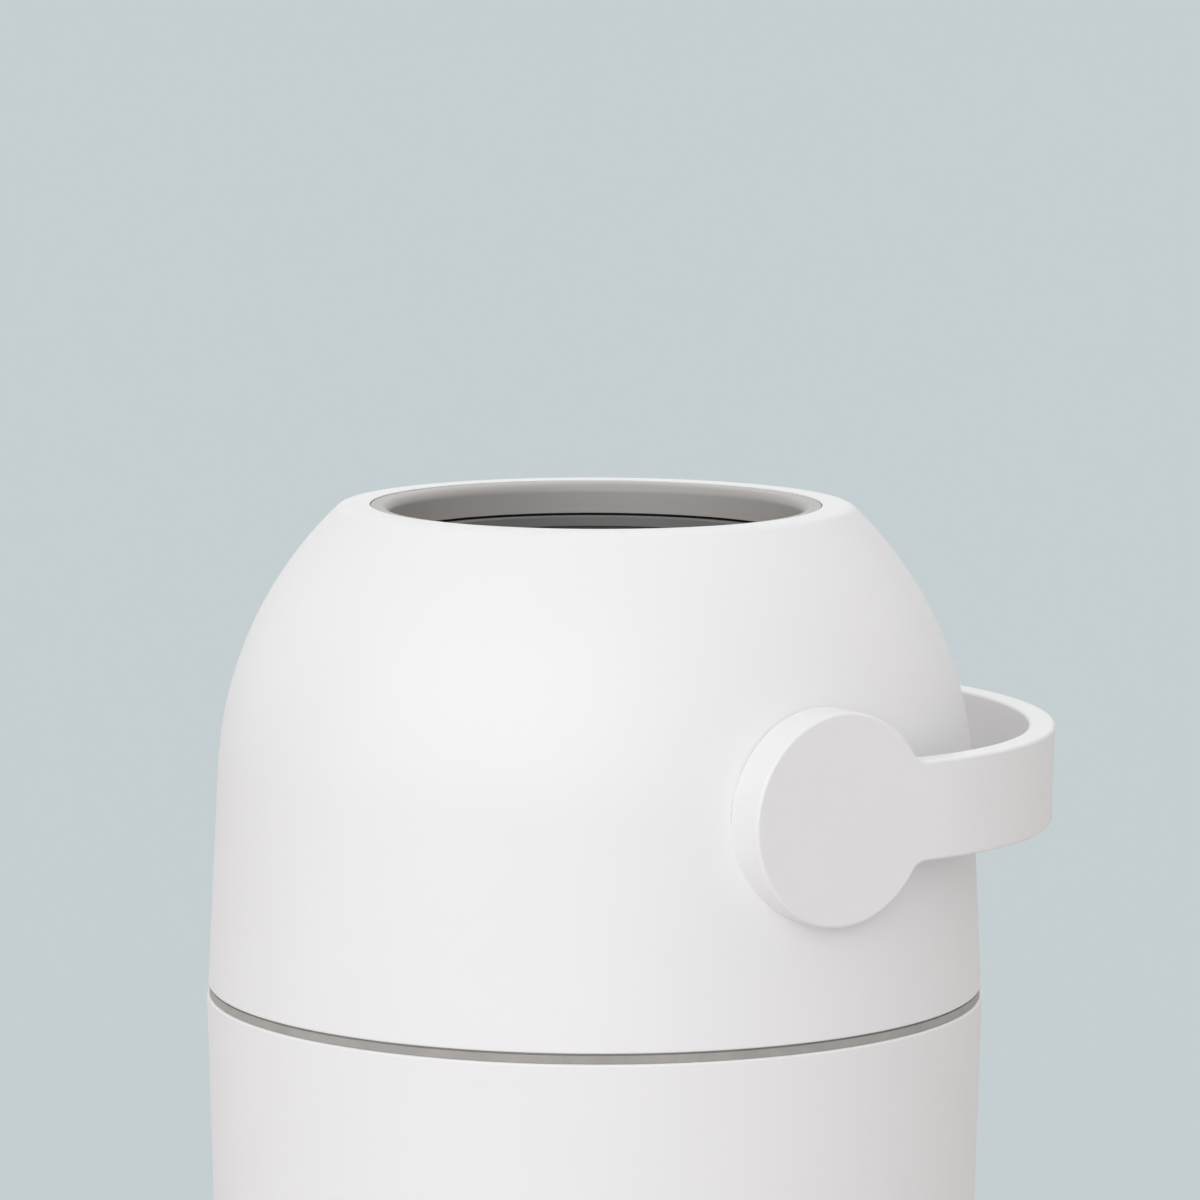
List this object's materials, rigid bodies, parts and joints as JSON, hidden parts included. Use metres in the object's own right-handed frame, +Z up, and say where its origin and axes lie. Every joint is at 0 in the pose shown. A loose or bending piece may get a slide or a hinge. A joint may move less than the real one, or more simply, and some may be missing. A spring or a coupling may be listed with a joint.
{
  "type": "nappy bin",
  "caption": "Tall round nappy bin with a domed lift-off head, a turning drum worked by a side handle, and a plunger that pushes the nappy into the bag.",
  "frame": {"origin": "centre of the foot ring on the floor, on the bin's own axis", "axes": "+Z up along the bin's axis; the drum turns about a line along Y; the handle's grip points to +X at rest"},
  "size_m": [0.2757, 0.2594, 0.605],
  "materials": {
    "white_plastic": "fine matt white polypropylene",
    "handle_plastic": "fine matt white polypropylene",
    "collar_plastic": "satin mid grey",
    "drum_plastic": "satin dark grey",
    "grey_plastic": "satin grey",
    "bush_plastic": "natural acetal",
    "gasket_rubber": "matt grey elastomer",
    "dark_rubber": "matt dark elastomer",
    "steel": "zinc-plated steel"
  },
  "bodies": {
    "bucket": {"bucket_shell": "white_plastic", "foot_ring": "dark_rubber"},
    "bag_ring": {"bag_ring": "grey_plastic"},
    "head": {"dome_shell": "white_plastic", "mouth_collar": "collar_plastic", "upper_wiper": "dark_rubber", "lower_wiper": "dark_rubber", "drum_floor": "grey_plastic", "seal_gasket": "gasket_rubber", "bush_front": "bush_plastic", "bush_rear": "bush_plastic", "floor_screws": "steel"},
    "drum": {"drum_shell_upper": "drum_plastic", "drum_shell_lower": "drum_plastic", "end_ring_upper": "drum_plastic", "end_ring_lower": "drum_plastic", "chamber_tube": "drum_plastic", "trunnion_front": "bush_plastic", "trunnion_rear": "bush_plastic", "handle": "handle_plastic", "hub_screws": "steel", "drum_screws": "steel"},
    "plunger": {"plunger_cap_upper": "grey_plastic", "plunger_cap_lower": "grey_plastic", "plunger_weight": "steel", "plunger_seal": "dark_rubber"}
  },
  "joints": [
    {"name": "head_lift", "type": "slide", "parent": "bucket", "child": "head", "axis": [0, 0, 1], "range_m": [0, 0.12]},
    {"name": "bag_ring_lift", "type": "slide", "parent": "bucket", "child": "bag_ring", "axis": [0, 0, 1], "range_m": [0, 0.025]},
    {"name": "handle_turn", "type": "hinge", "parent": "head", "child": "drum", "pos_m": [0, 0, 0.519], "axis": [0, -1, 0], "range_deg": [0, 180]},
    {"name": "plunger_slide", "type": "slide", "parent": "drum", "child": "plunger", "axis": [0, 0, 1], "range_m": [0, 0.1138]}
  ]
}
